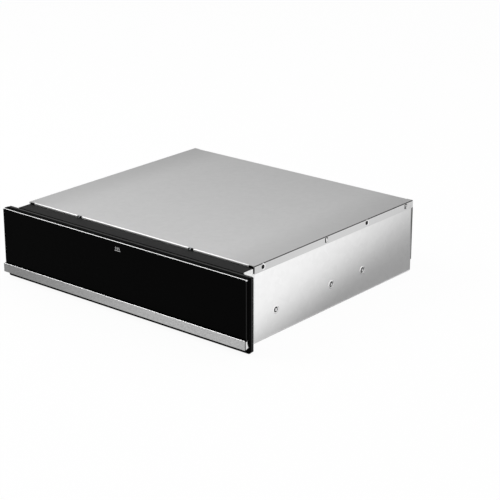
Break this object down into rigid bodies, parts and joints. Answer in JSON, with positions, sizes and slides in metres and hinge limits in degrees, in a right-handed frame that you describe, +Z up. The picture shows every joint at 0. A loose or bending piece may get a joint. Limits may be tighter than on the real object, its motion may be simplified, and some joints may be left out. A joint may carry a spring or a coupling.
{
  "type": "built-in warming drawer",
  "caption": "Low built-in warming drawer: black glass front with a metal grip strip, sheet steel casing, and a heated drawer on telescopic ball runners.",
  "frame": {"origin": "centre of the footprint's bounding box, on the plane of the shelf that the casing stands on", "axes": "+X to the user's right, +Y from the front towards the back of the cabinet, +Z up"},
  "size_m": [0.595, 0.5232, 0.142],
  "materials": {
    "galvanised_steel": "satin zinc",
    "black_glass": "polished, opaque black",
    "black_plastic": "fine grained",
    "grip_metal": "brushed along its length",
    "black_enamel": "semi-gloss black",
    "mineral_wool": "fibrous",
    "stainless_steel": "brushed",
    "mat_rubber": "ribbed",
    "rubber": "matte",
    "loom_sleeve": "woven sleeve",
    "zinc_plate": "bright zinc plate",
    "hard_steel": "polished",
    "circuit_board": "solder mask",
    "clear_lens": "clear",
    "white_nylon": "moulded",
    "wheel_aluminium": "mill finish",
    "bearing_bronze": "sintered",
    "motor_iron": "laminated, varnished",
    "copper_coil": "wound, taped",
    "heater_sheath": "heat-tinted"
  },
  "bodies": {
    "casing": {"side_panel_left": "galvanised_steel", "side_panel_right": "galvanised_steel", "base_tray": "galvanised_steel", "rear_panel": "galvanised_steel", "top_cover": "galvanised_steel", "front_frame_left": "galvanised_steel", "front_frame_right": "galvanised_steel", "bulkhead": "galvanised_steel", "blower_scroll": "galvanised_steel", "blower_tongue": "galvanised_steel", "blower_end_plate_left": "galvanised_steel", "blower_end_plate_right": "galvanised_steel", "control_housing": "black_plastic", "cable_inlet": "black_plastic", "door_buffer_left": "rubber", "door_buffer_right": "rubber", "wiring_loom": "loom_sleeve", "runner_outer_left": "zinc_plate", "runner_outer_right": "zinc_plate", "motor_bearing_plate": "zinc_plate", "control_board": "circuit_board", "indicator_lens": "clear_lens", "thermal_cutout": "white_nylon", "terminal_block": "white_nylon", "fan_bearing": "bearing_bronze", "motor_stator": "motor_iron", "motor_coil": "copper_coil", "heater_element": "heater_sheath"},
    "drawer": {"glass_front": "black_glass", "front_carrier": "black_plastic", "grip_strip": "grip_metal", "grip_end_left": "grip_metal", "grip_end_right": "grip_metal", "door_liner": "black_enamel", "door_insulation": "mineral_wool", "door_bracket_left": "zinc_plate", "door_bracket_right": "zinc_plate", "drawer_floor": "stainless_steel", "drawer_side_left": "stainless_steel", "drawer_side_right": "stainless_steel", "drawer_front_wall": "stainless_steel", "drawer_rear_wall": "stainless_steel", "drawer_mat": "mat_rubber", "runner_inner_left": "zinc_plate", "runner_inner_right": "zinc_plate"},
    "runner_middle_left": {"runner_middle_left": "zinc_plate"},
    "runner_middle_right": {"runner_middle_right": "zinc_plate"},
    "ball_cage_outer_left": {"ball_cage_outer_left": "hard_steel"},
    "ball_cage_outer_right": {"ball_cage_outer_right": "hard_steel"},
    "ball_cage_inner_left": {"ball_cage_inner_left": "hard_steel"},
    "ball_cage_inner_right": {"ball_cage_inner_right": "hard_steel"},
    "power_button": {"power_button": "black_plastic"},
    "temperature_button": {"temperature_button": "black_plastic"},
    "timer_button": {"timer_button": "black_plastic"},
    "fan": {"fan_wheel": "wheel_aluminium", "motor_rotor": "hard_steel"}
  },
  "joints": [
    {"name": "drawer_slide", "type": "slide", "parent": "casing", "child": "drawer", "axis": [0, -1, 0], "range_m": [0, 0.39]},
    {"name": "runner_middle_left_slide", "type": "slide", "parent": "casing", "child": "runner_middle_left", "axis": [0, -1, 0], "range_m": [0, 0.1951]},
    {"name": "runner_middle_right_slide", "type": "slide", "parent": "casing", "child": "runner_middle_right", "axis": [0, -1, 0], "range_m": [0, 0.1951]},
    {"name": "ball_cage_outer_left_slide", "type": "slide", "parent": "casing", "child": "ball_cage_outer_left", "axis": [0, -1, 0], "range_m": [0, 0.0976]},
    {"name": "ball_cage_outer_right_slide", "type": "slide", "parent": "casing", "child": "ball_cage_outer_right", "axis": [0, -1, 0], "range_m": [0, 0.0976]},
    {"name": "ball_cage_inner_left_slide", "type": "slide", "parent": "casing", "child": "ball_cage_inner_left", "axis": [0, -1, 0], "range_m": [0, 0.2926]},
    {"name": "ball_cage_inner_right_slide", "type": "slide", "parent": "casing", "child": "ball_cage_inner_right", "axis": [0, -1, 0], "range_m": [0, 0.2926]},
    {"name": "power_button_press", "type": "slide", "parent": "casing", "child": "power_button", "axis": [0, 1, 0], "range_m": [0, 0.0015], "stiffness_N_per_m": 900},
    {"name": "temperature_button_press", "type": "slide", "parent": "casing", "child": "temperature_button", "axis": [0, 1, 0], "range_m": [0, 0.0015], "stiffness_N_per_m": 900},
    {"name": "timer_button_press", "type": "slide", "parent": "casing", "child": "timer_button", "axis": [0, 1, 0], "range_m": [0, 0.0015], "stiffness_N_per_m": 900},
    {"name": "fan_spin", "type": "hinge", "parent": "casing", "child": "fan", "pos_m": [-0.02, 0.22692, 0.06], "axis": [1, 0, 0], "continuous": true}
  ],
  "couplings": [
    {"joint": "runner_middle_left_slide", "follows": "drawer_slide", "ratio": 0.5},
    {"joint": "runner_middle_right_slide", "follows": "drawer_slide", "ratio": 0.5},
    {"joint": "ball_cage_outer_left_slide", "follows": "drawer_slide", "ratio": 0.25},
    {"joint": "ball_cage_outer_right_slide", "follows": "drawer_slide", "ratio": 0.25},
    {"joint": "ball_cage_inner_left_slide", "follows": "drawer_slide", "ratio": 0.75},
    {"joint": "ball_cage_inner_right_slide", "follows": "drawer_slide", "ratio": 0.75}
  ]
}
